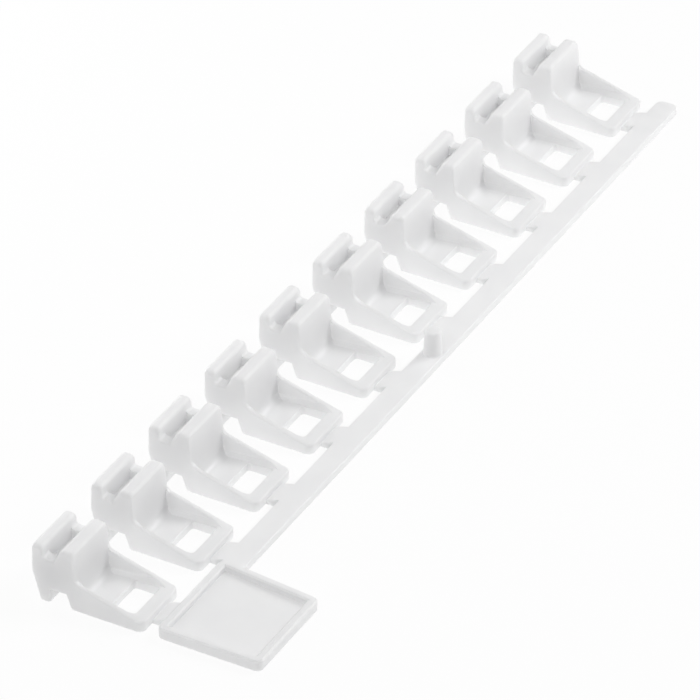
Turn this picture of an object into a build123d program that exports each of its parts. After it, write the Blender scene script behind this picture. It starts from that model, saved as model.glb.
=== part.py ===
"""Strip of curtain gliders, as it leaves the mould: a row of gliders held by thin gates on one flat runner bar,
with a grip tab at one end of the runner and the stub of the sprue at its middle. All of it is one solid.

Millimetres. +X runs along the runner from the tab, +Y from the runner to the glider heads, +Z up.
The origin is on the underside, in the middle of the strip's outline."""

import os
from math import radians, tan

from build123d import *

# Row of gliders
glider_count = 10
glider_pitch = 13.5
glider_width = 8.7
glider_length = 15.2
side_draft = 2.5

# Head flange, which hangs inside the track, and the foot under it
flange_top = 7.65
flange_thickness = 1.5
flange_edge_radius = 0.4
flange_lip_radius = 0.6
flange_knee_height = 4.0
flange_knee_radius = 1.5
foot_inset = 1.25
foot_thickness = 1.4
foot_radius = 0.45

# Neck, which stands in the slot of the track
neck_bottom = 1.9
neck_top = 6.0
neck_slot_length = 1.5
neck_slot_radius = 0.4
notch_length = 2.05
notch_slope = 0.75
pocket_end_wall = 1.8
pocket_depth = 3.0

# Stop plate, which slides along the front of the track
plate_top = 7.85
plate_thickness = 1.75
plate_back_slope = 0.85
plate_back_radius = 0.8
plate_front_radius = 0.5
plate_lean = 4.5

# Open channel between the two side walls
wall_thickness = 0.8
wall_height_at_plate = 3.95
wall_root_radius = 0.9
floor_at_plate = 0.95
floor_at_eye = 1.5
floor_root_radius = 1.0
channel_bevel = 0.5

# End bar and the eye behind it for the curtain hook
bar_height = 1.5
bar_length = 1.0
eye_from_end = 1.8
eye_length = 3.5
eye_width = 5.8
eye_radius = 0.4
end_corner_radius = 1.0

# Gate that holds each glider on the runner
gate_width = 4.2
gate_length = 1.7
gate_height = 0.7

# Runner bar
runner_width = 3.0
runner_thickness = 1.2
runner_overhang = 1.2
runner_end_radius = 1.0

# Grip tab with a raised rim
tab_inset = 0.2
tab_length = 15.6
tab_outer_length = 14.2
tab_depth = 14.0
tab_thickness = 1.6
tab_floor = 0.8
tab_rim = 1.1
tab_corner_radius = 0.9
tab_edge_bevel = 0.2

# Stub of the sprue
sprue_height = 3.4
sprue_top_diameter = 2.1
sprue_base_diameter = 2.4
sprue_flare = 0.12

# Places worked out from the sizes above
strip_length = (glider_count - 1) * glider_pitch + glider_width + runner_overhang
strip_depth = glider_length + gate_length + tab_depth
strip_left = -strip_length / 2
tab_left = strip_left + tab_inset
glider_end = strip_depth / 2 - glider_length
runner_inner = glider_end - gate_length
runner_outer = runner_inner - runner_width
first_glider = strip_left + glider_width / 2
glider_places = [(first_glider + i * glider_pitch, 0, 0) for i in range(glider_count)]

# Side outline of a glider, in lengths from its end bar and heights
flange_inner = glider_length - flange_thickness
foot_outer = glider_length - foot_inset
foot_inner = foot_outer - foot_thickness
notch_body = foot_inner - notch_length
plate_back_foot = flange_inner - neck_slot_length
plate_back_top = plate_back_foot - plate_back_slope
plate_front_top = plate_back_top - plate_thickness
lean = tan(radians(plate_lean))
plate_front_at_wall = plate_front_top - (plate_top - wall_height_at_plate) * lean
plate_front_at_floor = plate_front_top - (plate_top - floor_at_plate) * lean
floor_slope = (floor_at_eye - floor_at_plate) / (plate_front_at_floor - eye_from_end)
floor_at_end = floor_at_eye + floor_slope * eye_from_end
channel_half_width = glider_width / 2 - wall_thickness
top_half_width = glider_width / 2 - plate_top * tan(radians(side_draft))

outline = [
    ((0, 0), 0),
    ((notch_body - notch_slope, 0), foot_radius),
    ((notch_body, neck_bottom), 0),
    ((foot_inner, neck_bottom), 0),
    ((foot_inner, 0), foot_radius),
    ((foot_outer, 0), foot_radius),
    ((glider_length, flange_knee_height), flange_knee_radius),
    ((glider_length, flange_top), flange_edge_radius),
    ((flange_inner, flange_top), flange_lip_radius),
    ((flange_inner, neck_top), neck_slot_radius),
    ((plate_back_foot, neck_top), 0),
    ((plate_back_top, plate_top), plate_back_radius),
    ((plate_front_top, plate_top), plate_front_radius),
    ((plate_front_at_wall, wall_height_at_plate), wall_root_radius),
    ((bar_length, bar_height), 0),
    ((0, bar_height), 0),
]
outline_points = [point for point, radius in outline]
outline_radii = [radius for point, radius in outline]
side_plane = Plane(origin=(0, glider_end, 0), x_dir=(0, 1, 0), z_dir=(1, 0, 0))
plan_plane = Plane(origin=(0, glider_end, 0))


# Core that forms the open channel: its floor rises towards the end bar and its lower corners are sloped
with BuildPart() as channel_core:
    with BuildSketch(side_plane):
        with BuildLine():
            FilletPolyline(
                (0, floor_at_end),
                (plate_front_at_floor, floor_at_plate),
                (plate_front_top, plate_top),
                (0, plate_top),
                radius=[0, floor_root_radius, 0, 0],
                close=True,
            )
        make_face()
    extrude(amount=channel_half_width, both=True)
    for side in (-1, 1):
        bevel_start = (side * (channel_half_width - channel_bevel), glider_end, floor_at_end)
        across = Vector(side, 0, 1)
        along = Vector(0, 1, -floor_slope)
        bevel_up = across.cross(along) * side
        split(bisect_by=Plane(origin=bevel_start, x_dir=along, z_dir=bevel_up), keep=Keep.TOP)

# One glider with its gate
with BuildPart() as glider:
    # Body: the side outline, held to a front outline with drafted sides
    with BuildSketch(side_plane):
        with BuildLine():
            FilletPolyline(*outline_points, radius=outline_radii, close=True)
        make_face()
    extrude(amount=glider_width, both=True)
    with BuildSketch(Plane.XZ):
        with BuildLine():
            Polyline(
                (-glider_width / 2, 0),
                (glider_width / 2, 0),
                (top_half_width, plate_top),
                (-top_half_width, plate_top),
                close=True,
            )
        make_face()
    extrude(amount=2 * glider_length, both=True, mode=Mode.INTERSECT)
    end_edges = glider.edges().group_by(Axis.Y)[0].filter_by(Axis.X, reverse=True)
    fillet(end_edges, end_corner_radius)

    # Channel between the side walls, and the eye for the curtain hook through its floor
    add(channel_core.part, mode=Mode.SUBTRACT)
    with BuildSketch(plan_plane):
        with Locations((0, eye_from_end + eye_length / 2)):
            RectangleRounded(eye_width, eye_length, eye_radius)
    extrude(amount=plate_top, mode=Mode.SUBTRACT)

    # Pocket in the neck, open above, as long as the slot between the flange and the plate
    with BuildSketch(side_plane):
        with BuildLine():
            Polyline(
                (plate_back_foot, neck_top - pocket_depth),
                (flange_inner, neck_top - pocket_depth),
                (flange_inner, plate_top),
                (plate_back_top, plate_top),
                (plate_back_foot, neck_top),
                close=True,
            )
        make_face()
    extrude(amount=glider_width / 2 - pocket_end_wall, both=True, mode=Mode.SUBTRACT)

    # Gate, thickening from the end bar to the runner
    with BuildSketch(side_plane):
        with BuildLine():
            Polyline(
                (-gate_length, 0),
                (bar_length, 0),
                (bar_length, gate_height),
                (0, gate_height),
                (-gate_length, runner_thickness),
                close=True,
            )
        make_face()
    extrude(amount=gate_width / 2, both=True)

# Grip tab: a plate with a recess inside its rim, narrower at its free side
with BuildPart() as tab:
    with BuildSketch() as tab_plan:
        with BuildLine():
            Polyline(
                (tab_left, runner_inner),
                (tab_left, runner_inner - tab_depth),
                (tab_left + tab_outer_length, runner_inner - tab_depth),
                (tab_left + tab_length, runner_inner),
                close=True,
            )
        make_face()
        fillet(tab_plan.vertices(), tab_corner_radius)
    extrude(amount=tab_thickness)
    with BuildSketch(Plane.XY.offset(tab_floor)):
        offset(tab_plan.sketch, amount=-tab_rim)
    extrude(amount=tab_thickness, mode=Mode.SUBTRACT)
    chamfer(tab.faces().sort_by(Axis.Z)[-1].edges(), tab_edge_bevel)

# Stub of the sprue, flared where it stands on the runner
with BuildPart() as sprue:
    sprue_base = (0, (runner_inner + runner_outer) / 2, runner_thickness)
    base_radius = sprue_base_diameter / 2
    with BuildSketch(Plane(origin=sprue_base, x_dir=(1, 0, 0), z_dir=(0, -1, 0))):
        with BuildLine():
            Polyline(
                (0, 0),
                (base_radius + sprue_flare, 0),
                (base_radius, sprue_flare),
                (sprue_top_diameter / 2, sprue_height),
                (0, sprue_height),
                close=True,
            )
        make_face()
    revolve(axis=Axis(sprue_base, (0, 0, 1)))

# The whole strip: runner, tab, sprue stub and the row of gliders, moulded as one
with BuildPart() as glider_strip:
    runner_start = tab_left + tab_length - tab_rim
    with BuildSketch() as runner_plan:
        with Locations((runner_start, runner_outer)):
            Rectangle(-strip_left - runner_start, runner_width, align=(Align.MIN, Align.MIN))
        fillet(runner_plan.vertices().group_by(Axis.X)[-1], runner_end_radius)
    extrude(amount=runner_thickness)
    add(tab.part)
    add(sprue.part)
    with Locations(*glider_places):
        add(glider.part)

os.makedirs("parts", exist_ok=True)
glider_strip.part.label = "glider_strip"
export_step(glider_strip.part, "parts/glider_strip.step")
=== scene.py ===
import math

import bmesh
import bpy
import numpy as np
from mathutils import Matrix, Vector


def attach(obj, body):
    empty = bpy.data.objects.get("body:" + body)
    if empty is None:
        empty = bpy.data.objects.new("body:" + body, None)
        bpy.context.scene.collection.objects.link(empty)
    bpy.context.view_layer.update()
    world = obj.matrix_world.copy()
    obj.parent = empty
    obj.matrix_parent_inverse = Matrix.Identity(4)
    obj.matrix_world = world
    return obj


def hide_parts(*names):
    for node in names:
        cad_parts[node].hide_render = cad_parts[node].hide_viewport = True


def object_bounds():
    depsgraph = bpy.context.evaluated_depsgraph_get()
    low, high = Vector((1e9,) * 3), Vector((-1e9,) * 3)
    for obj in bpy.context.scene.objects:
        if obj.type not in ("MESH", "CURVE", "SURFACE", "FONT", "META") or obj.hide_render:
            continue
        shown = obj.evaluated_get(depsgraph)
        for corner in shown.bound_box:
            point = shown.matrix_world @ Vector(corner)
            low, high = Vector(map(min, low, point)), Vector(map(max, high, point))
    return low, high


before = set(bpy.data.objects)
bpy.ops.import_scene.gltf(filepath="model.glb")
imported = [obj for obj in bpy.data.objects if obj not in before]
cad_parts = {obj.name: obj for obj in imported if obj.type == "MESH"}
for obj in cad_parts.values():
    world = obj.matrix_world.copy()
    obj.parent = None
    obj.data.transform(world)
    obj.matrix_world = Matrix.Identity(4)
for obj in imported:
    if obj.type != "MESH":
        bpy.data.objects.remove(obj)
cad_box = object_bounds()
scene = bpy.context.scene
scene.view_settings.view_transform = "Standard"

# Sizes, in metres
# The strip's own sizes, as the CAD model has them, and regions of it. A region is a box, given by its lowest
# and highest corner. On a glider it runs across from the middle, along from the end bar, and up.
glider_count = 10
glider_pitch = 0.0135
glider_half_width = 0.00435
glider_end = 0.00025
side_draft = math.tan(math.radians(2.5))
first_glider = cad_box[0].x + glider_half_width
glider_middles = first_glider + glider_pitch * np.arange(glider_count)
sprue_place = 0.0
beyond = 1.0
pocket_region = ((-0.0027, 0.0115, 0.0025), (0.0027, 0.0139, beyond))
pocket_floor_region = ((-0.0026, 0.01215, 0.00295), (0.0026, 0.01375, 0.00305))
wall_root_region = ((-0.0037, 0.0087, 0.003), (0.0037, 0.0097, beyond))
eye_region = ((-0.003, 0.00165, 0.001), (0.003, 0.00545, beyond))
runner_rim_region = ((-beyond, -0.00455, 0.0011), (beyond, -0.00135, 0.0013))
same_place = 2e-6
on_plane = 1e-7


# Tools
# What the sections below share: arrays read from meshes, places on a glider, cuts, rounds, colours and nodes.
def read_array(items, name, width, kind):
    """One property of every item of a mesh, as an array with that many columns."""
    values = np.zeros(len(items) * width, kind)
    items.foreach_get(name, values)
    return values.reshape(-1, width) if width > 1 else values


def corner_angles(mesh):
    """The turn between the two faces at each edge, and the middle of the edge. The turn is the angle between
    the faces' normals. It is positive where the edge stands out and negative where it lies in, which is the
    sign of the normals' cross product along the edge, in the first face's own direction."""
    points = read_array(mesh.vertices, "co", 3, np.float32)
    normals = read_array(mesh.polygons, "normal", 3, np.float32)
    totals = read_array(mesh.polygons, "loop_total", 1, np.int32)
    starts = read_array(mesh.loops, "vertex_index", 1, np.int32)
    edges = read_array(mesh.loops, "edge_index", 1, np.int32)
    ends = read_array(mesh.edges, "vertices", 2, np.int32)
    faces = np.repeat(np.arange(len(totals)), totals)
    order = np.argsort(edges, kind="stable")
    first, second = order[0::2], order[1::2]
    at = edges[first]
    forward = np.where(starts[first] == ends[at, 0], 1.0, -1.0)
    along = (points[ends[at, 1]] - points[ends[at, 0]]) * forward[:, None]
    one, two = normals[faces[first]], normals[faces[second]]
    turn = np.arccos(np.clip(np.einsum("ij,ij->i", one, two), -1, 1))
    side = np.sign(np.einsum("ij,ij->i", np.cross(one, two), along))
    angles = np.zeros(len(ends))
    angles[at] = turn * side
    return angles, points[ends].mean(axis=1)


def on_glider(points):
    """Points as seen from the nearest glider: across from its middle, along from its end bar, and up."""
    seen = points.copy()
    half_pitch = glider_pitch / 2
    seen[:, 0] = (points[:, 0] - first_glider + half_pitch) % glider_pitch - half_pitch
    seen[:, 1] -= glider_end
    return seen


def inside(points, region):
    """Which points lie inside a region."""
    lowest, highest = region
    return np.all((points > lowest) & (points < highest), axis=1)


def cut_across(mesh, parts, place, direction):
    """Cuts parts of a mesh along a plane, marks the new edges as seams and returns the parts as cut."""
    cut = bmesh.ops.bisect_plane(mesh, geom=parts, dist=on_plane, plane_co=place, plane_no=direction)
    for edge in (item for item in cut["geom_cut"] if isinstance(item, bmesh.types.BMEdge)):
        edge.seam = True
    return cut["geom"]


def sunk(inward, radius):
    """How far a round of that radius lies under the corner it takes away, that far inward of the side."""
    reach = np.clip(radius - inward, 0, radius)
    return radius - np.sqrt(np.maximum(radius**2 - reach**2, 0))


def linear(code):
    """An sRGB hex colour as linear red, green, blue and alpha."""
    parts = np.array([int(code[i : i + 2], 16) for i in (1, 3, 5)]) / 255
    low = parts / 12.92
    high = ((parts + 0.055) / 1.055) ** 2.4
    return (*np.where(parts <= 0.04045, low, high), 1.0)


def set_up(tree, node, settings, links):
    """Sets a node's inputs or properties by name, and links its inputs to other nodes' outputs."""
    for name, value in settings.items():
        if name in node.inputs:
            node.inputs[name].default_value = value
        else:
            setattr(node, name, value)
    for name, source in links.items():
        tree.links.new(source, node.inputs[name])
    return node


def add_node(tree, kind, settings, links):
    """Adds a node of that kind and sets it up."""
    return set_up(tree, tree.nodes.new(kind), settings, links)


# Glider strip
# One injection moulding: the gliders, their gates, the runner bar, the grip tab and the sprue stub. The mould
# leaves no knife edge on it, so its outer corners are eased, and the gliders' heads have round shoulders.
flat = math.radians(0.5)
wall_cut = 0.0084
neck_cut = 0.01237
level_cut = 0.0052
strip_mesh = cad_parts["glider_strip"].data.copy()
whole = bmesh.new()
whole.from_mesh(strip_mesh)
bmesh.ops.remove_doubles(whole, verts=whole.verts, dist=same_place)

# Cuts through the middle of each glider and of the sprue, and across the walls, necks and plates, leave no
# flat face with a hole or a deep bay in it, so that all triangles of a flat face can be joined into one.
cuts = [((middle, 0, 0), (1, 0, 0)) for middle in (*glider_middles, sprue_place)]
cuts += [((0, glider_end + length, 0), (0, 1, 0)) for length in (wall_cut, neck_cut)]
cuts += [((0, 0, level_cut), (0, 0, 1))]
for place, direction in cuts:
    cut_across(whole, whole.verts[:] + whole.edges[:] + whole.faces[:], place, direction)
bmesh.ops.remove_doubles(whole, verts=whole.verts, dist=same_place)

# More cuts, in the heads alone and at steps from each glider's middle, make the bends for the round shoulders
# of the flange and the stop plate.
head_bottom = 0.00605
shoulder_steps = (0.0033, 0.00347, 0.00361)
head_faces = [face for face in whole.faces if face.calc_center_median().z > head_bottom]
head_edges = dict.fromkeys(edge for face in head_faces for edge in face.edges)
head = head_faces + list(head_edges)
steps = [side * step for side in (-1, 1) for step in shoulder_steps]
for place in (middle + step for middle in glider_middles for step in steps):
    head = cut_across(whole, head, (place, 0, 0), (1, 0, 0))
bmesh.ops.dissolve_limit(whole, angle_limit=flat, verts=whole.verts, edges=whole.edges, delimit={"SEAM"})
whole.to_mesh(strip_mesh)
whole.free()

# Easing grows with the turn of a corner. The pocket in the neck keeps sharp edges, and the easing of a wall's
# inner edge ends where the wall starts to curve up the stop plate. The rim of the hook eye is eased less, as
# the floor beside it is narrow, and so is the runner's upper rim, as the sprue stands close to it.
outer_edge = 0.00028
slight_corner = math.radians(50)
full_corner = math.radians(80)
eye_easing = 0.45
runner_easing = 0.55
angles, middles = corner_angles(strip_mesh)
weights = np.clip((angles - slight_corner) / (full_corner - slight_corner), 0, 1)
places = on_glider(middles)
weights[inside(places, pocket_region) | inside(places, wall_root_region)] = 0
weights[inside(places, eye_region)] *= eye_easing
weights[inside(middles, runner_rim_region)] *= runner_easing
strip_mesh.shade_smooth()
eased = strip_mesh.attributes.new("bevel_weight_edge", "FLOAT", "EDGE")
eased.data.foreach_set("value", weights.astype(np.float32))

# Corners that stay without easing are shaded sharp.
sharp_corner = math.radians(28)
hardly_eased = 0.02
sharp = strip_mesh.attributes.get("sharp_edge")
sharp = sharp or strip_mesh.attributes.new("sharp_edge", "BOOLEAN", "EDGE")
sharp.data.foreach_set("value", (np.abs(angles) > sharp_corner) & (weights < hardly_eased))
strip = bpy.data.objects.new("moulded_glider_strip", strip_mesh)
scene.collection.objects.link(strip)
rounding = strip.modifiers.new("eased edges", "BEVEL")
rounding.limit_method = "WEIGHT"
rounding.width = outer_edge
rounding.segments = 4
rounding.use_clamp_overlap = False
eased_strip = strip.evaluated_get(bpy.context.evaluated_depsgraph_get())
strip_mesh = bpy.data.meshes.new_from_object(eased_strip)
strip.modifiers.remove(rounding)
strip.data = strip_mesh

# The shoulders of the flange and the stop plate are rounder than the other corners: their points sink by the
# difference between a large round and the small one that is already there, fully from where the flange's lip
# starts to curve and not at all at the neck.
shoulder = 0.0007
lip_start = 0.00705
lip_foot = 0.0063
points = read_array(strip_mesh.vertices, "co", 3, np.float32).astype(float)
places = on_glider(points)
heights = places[:, 2]
inward = glider_half_width - side_draft * heights - np.abs(places[:, 0])
on_head = np.clip((heights - lip_foot) / (lip_start - lip_foot), 0, 1)
points[:, 2] -= on_head * (sunk(inward, shoulder) - sunk(inward, outer_edge))

# The pocket in the neck is shallow, so light reaches its floor.
pocket_floor = 0.0048
points[inside(places, pocket_floor_region), 2] = pocket_floor
strip_mesh.vertices.foreach_set("co", points.astype(np.float32).ravel())
strip_mesh.update()
shading = strip.modifiers.new("flat faces stay flat", "WEIGHTED_NORMAL")
shading.weight = 100
shading.keep_sharp = True

# White acetal, as moulded
# Light enters it more than a millimetre deep, so thin walls and pockets glow softly. The mould's fine-blasted
# steel leaves a satin with faint clouds of more and less shine and a grain that only just shows.
light_depth = 0.0016
flow_cloud = 0.004
shine_cloud = 0.0006
grain = 0.00009
grain_relief = {"Strength": 0.2, "Distance": 0.000004}
satin_range = {"To Min": 0.38, "To Max": 0.48}
plastic = bpy.data.materials.new("white_moulded_acetal")
plastic.use_nodes = True
tree = plastic.node_tree
spot = {"Vector": add_node(tree, "ShaderNodeTexCoord", {}, {}).outputs["Object"]}
flow = add_node(tree, "ShaderNodeTexNoise", {"Scale": 1 / flow_cloud, "Detail": 2.0}, spot)
white = add_node(tree, "ShaderNodeValToRGB", {}, {"Fac": flow.outputs["Fac"]})
white.color_ramp.elements[0].color = linear("#ededee")
white.color_ramp.elements[1].color = linear("#f3f3f3")
shine = add_node(tree, "ShaderNodeTexNoise", {"Scale": 1 / shine_cloud, "Detail": 3.0}, spot)
satin = add_node(tree, "ShaderNodeMapRange", satin_range, {"Value": shine.outputs["Fac"]})
steel = add_node(tree, "ShaderNodeTexNoise", {"Scale": 1 / grain, "Detail": 1.0}, spot)
relief = add_node(tree, "ShaderNodeBump", grain_relief, {"Height": steel.outputs["Fac"]})
acetal = {
    "IOR": 1.48,
    "Subsurface Weight": 1.0,
    "Subsurface Radius": (1.0, 1.0, 1.0),
    "Subsurface Scale": light_depth,
}
acetal_links = {
    "Base Color": white.outputs["Color"],
    "Roughness": satin.outputs["Result"],
    "Normal": relief.outputs["Normal"],
}
set_up(tree, tree.nodes["Principled BSDF"], acetal, acetal_links)
strip_mesh.materials.clear()
strip_mesh.materials.append(plastic)
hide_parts("glider_strip")
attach(strip, "root")

# Floor
# A white sheet lit from below, like a light table, and brighter towards the far end of the strip.
# Seen by the camera or in a reflection it is almost white, and it keeps a faint shadow.
floor_half = 1.6
floor_level = -0.00002
glow_reach = 0.065
glow_at_tab = 0.66
glow_at_far_end = 0.9
glow_seen = 0.92
corners = np.array([(-1, -1), (1, -1), (1, 1), (-1, 1)]) * floor_half
floor_mesh = bpy.data.meshes.new("floor")
floor_mesh.from_pydata([(x, y, floor_level) for x, y in corners], [], [(0, 1, 2, 3)])
floor = bpy.data.objects.new("floor", floor_mesh)
scene.collection.objects.link(floor)
paper = bpy.data.materials.new("white_paper")
paper.use_nodes = True
sheet = paper.node_tree
paper_finish = {"Base Color": linear("#fafafa"), "Roughness": 0.9}
paper_shader = set_up(sheet, sheet.nodes["Principled BSDF"], paper_finish, {})
ray = add_node(sheet, "ShaderNodeLightPath", {}, {}).outputs
larger = {"operation": "MAXIMUM"}
outside_rays = {0: ray["Is Camera Ray"], 1: ray["Is Glossy Ray"]}
seen_outside = add_node(sheet, "ShaderNodeMath", larger, outside_rays).outputs["Value"]
seen_rays = {0: seen_outside, 1: ray["Is Transmission Ray"]}
seen = add_node(sheet, "ShaderNodeMath", larger, seen_rays).outputs["Value"]
position = add_node(sheet, "ShaderNodeNewGeometry", {}, {}).outputs["Position"]
along_strip = add_node(sheet, "ShaderNodeSeparateXYZ", {}, {"Vector": position}).outputs["X"]
glow_range = {
    "From Min": -glow_reach,
    "From Max": glow_reach,
    "To Min": glow_at_tab,
    "To Max": glow_at_far_end,
}
glow = add_node(sheet, "ShaderNodeMapRange", glow_range, {"Value": along_strip}).outputs["Result"]
share_links = {"Value": seen, "To Min": glow}
share = add_node(sheet, "ShaderNodeMapRange", {"To Max": glow_seen}, share_links).outputs["Result"]
light = add_node(sheet, "ShaderNodeEmission", {"Strength": 1.0}, {}).outputs["Emission"]
blend_links = {0: share, 1: paper_shader.outputs["BSDF"], 2: light}
blend = add_node(sheet, "ShaderNodeMixShader", {}, blend_links).outputs["Shader"]
set_up(sheet, sheet.nodes["Material Output"], {}, {"Surface": blend})
floor_mesh.materials.append(paper)

# Light
# A pale room and three soft round lamps: the key beside the far end, a low one behind the heads and a fill
# over the tab's end. Each has its place, its size and its power in watts.
room_light = 0.206
lamp_aim = Vector((0, 0, 0.003))
lamps = {
    "key": ((0.21, -0.21, 0.25), 0.25, 0.809),
    "back": ((0.02, 0.16, 0.1), 0.2, 0.154),
    "fill": ((-0.172, 0, 0.249), 0.25, 0.26),
}
for name, (place, size, power) in lamps.items():
    lamp_data = bpy.data.lights.new(name, "AREA")
    lamp_data.shape = "DISK"
    lamp_data.size = size
    lamp_data.energy = power
    lamp = bpy.data.objects.new(name, lamp_data)
    lamp.location = place
    lamp.rotation_euler = (lamp.location - lamp_aim).to_track_quat("Z", "Y").to_euler()
    scene.collection.objects.link(lamp)
world = bpy.data.worlds.new("pale_room")
scene.world = world
world.use_nodes = True
room = {"Color": (1, 1, 1, 1), "Strength": room_light}
set_up(world.node_tree, world.node_tree.nodes["Background"], room, {})

# Camera
# A long lens from the tab's end, above the strip and on the runner's side of it.
camera_distance = 0.77267
aim = Vector((-0.0029, 0.007224, -0.0001))
sight = Vector((0.7177, 0.3964, -0.5727)).normalized()
camera_data = bpy.data.cameras.new("camera")
camera_data.sensor_width = 36.0
camera_data.lens = 318.64
camera_data.clip_end = 20.0
camera = bpy.data.objects.new("camera", camera_data)
camera.location = aim - sight * camera_distance
camera.rotation_euler = sight.to_track_quat("-Z", "Y").to_euler()
scene.collection.objects.link(camera)
scene.camera = camera
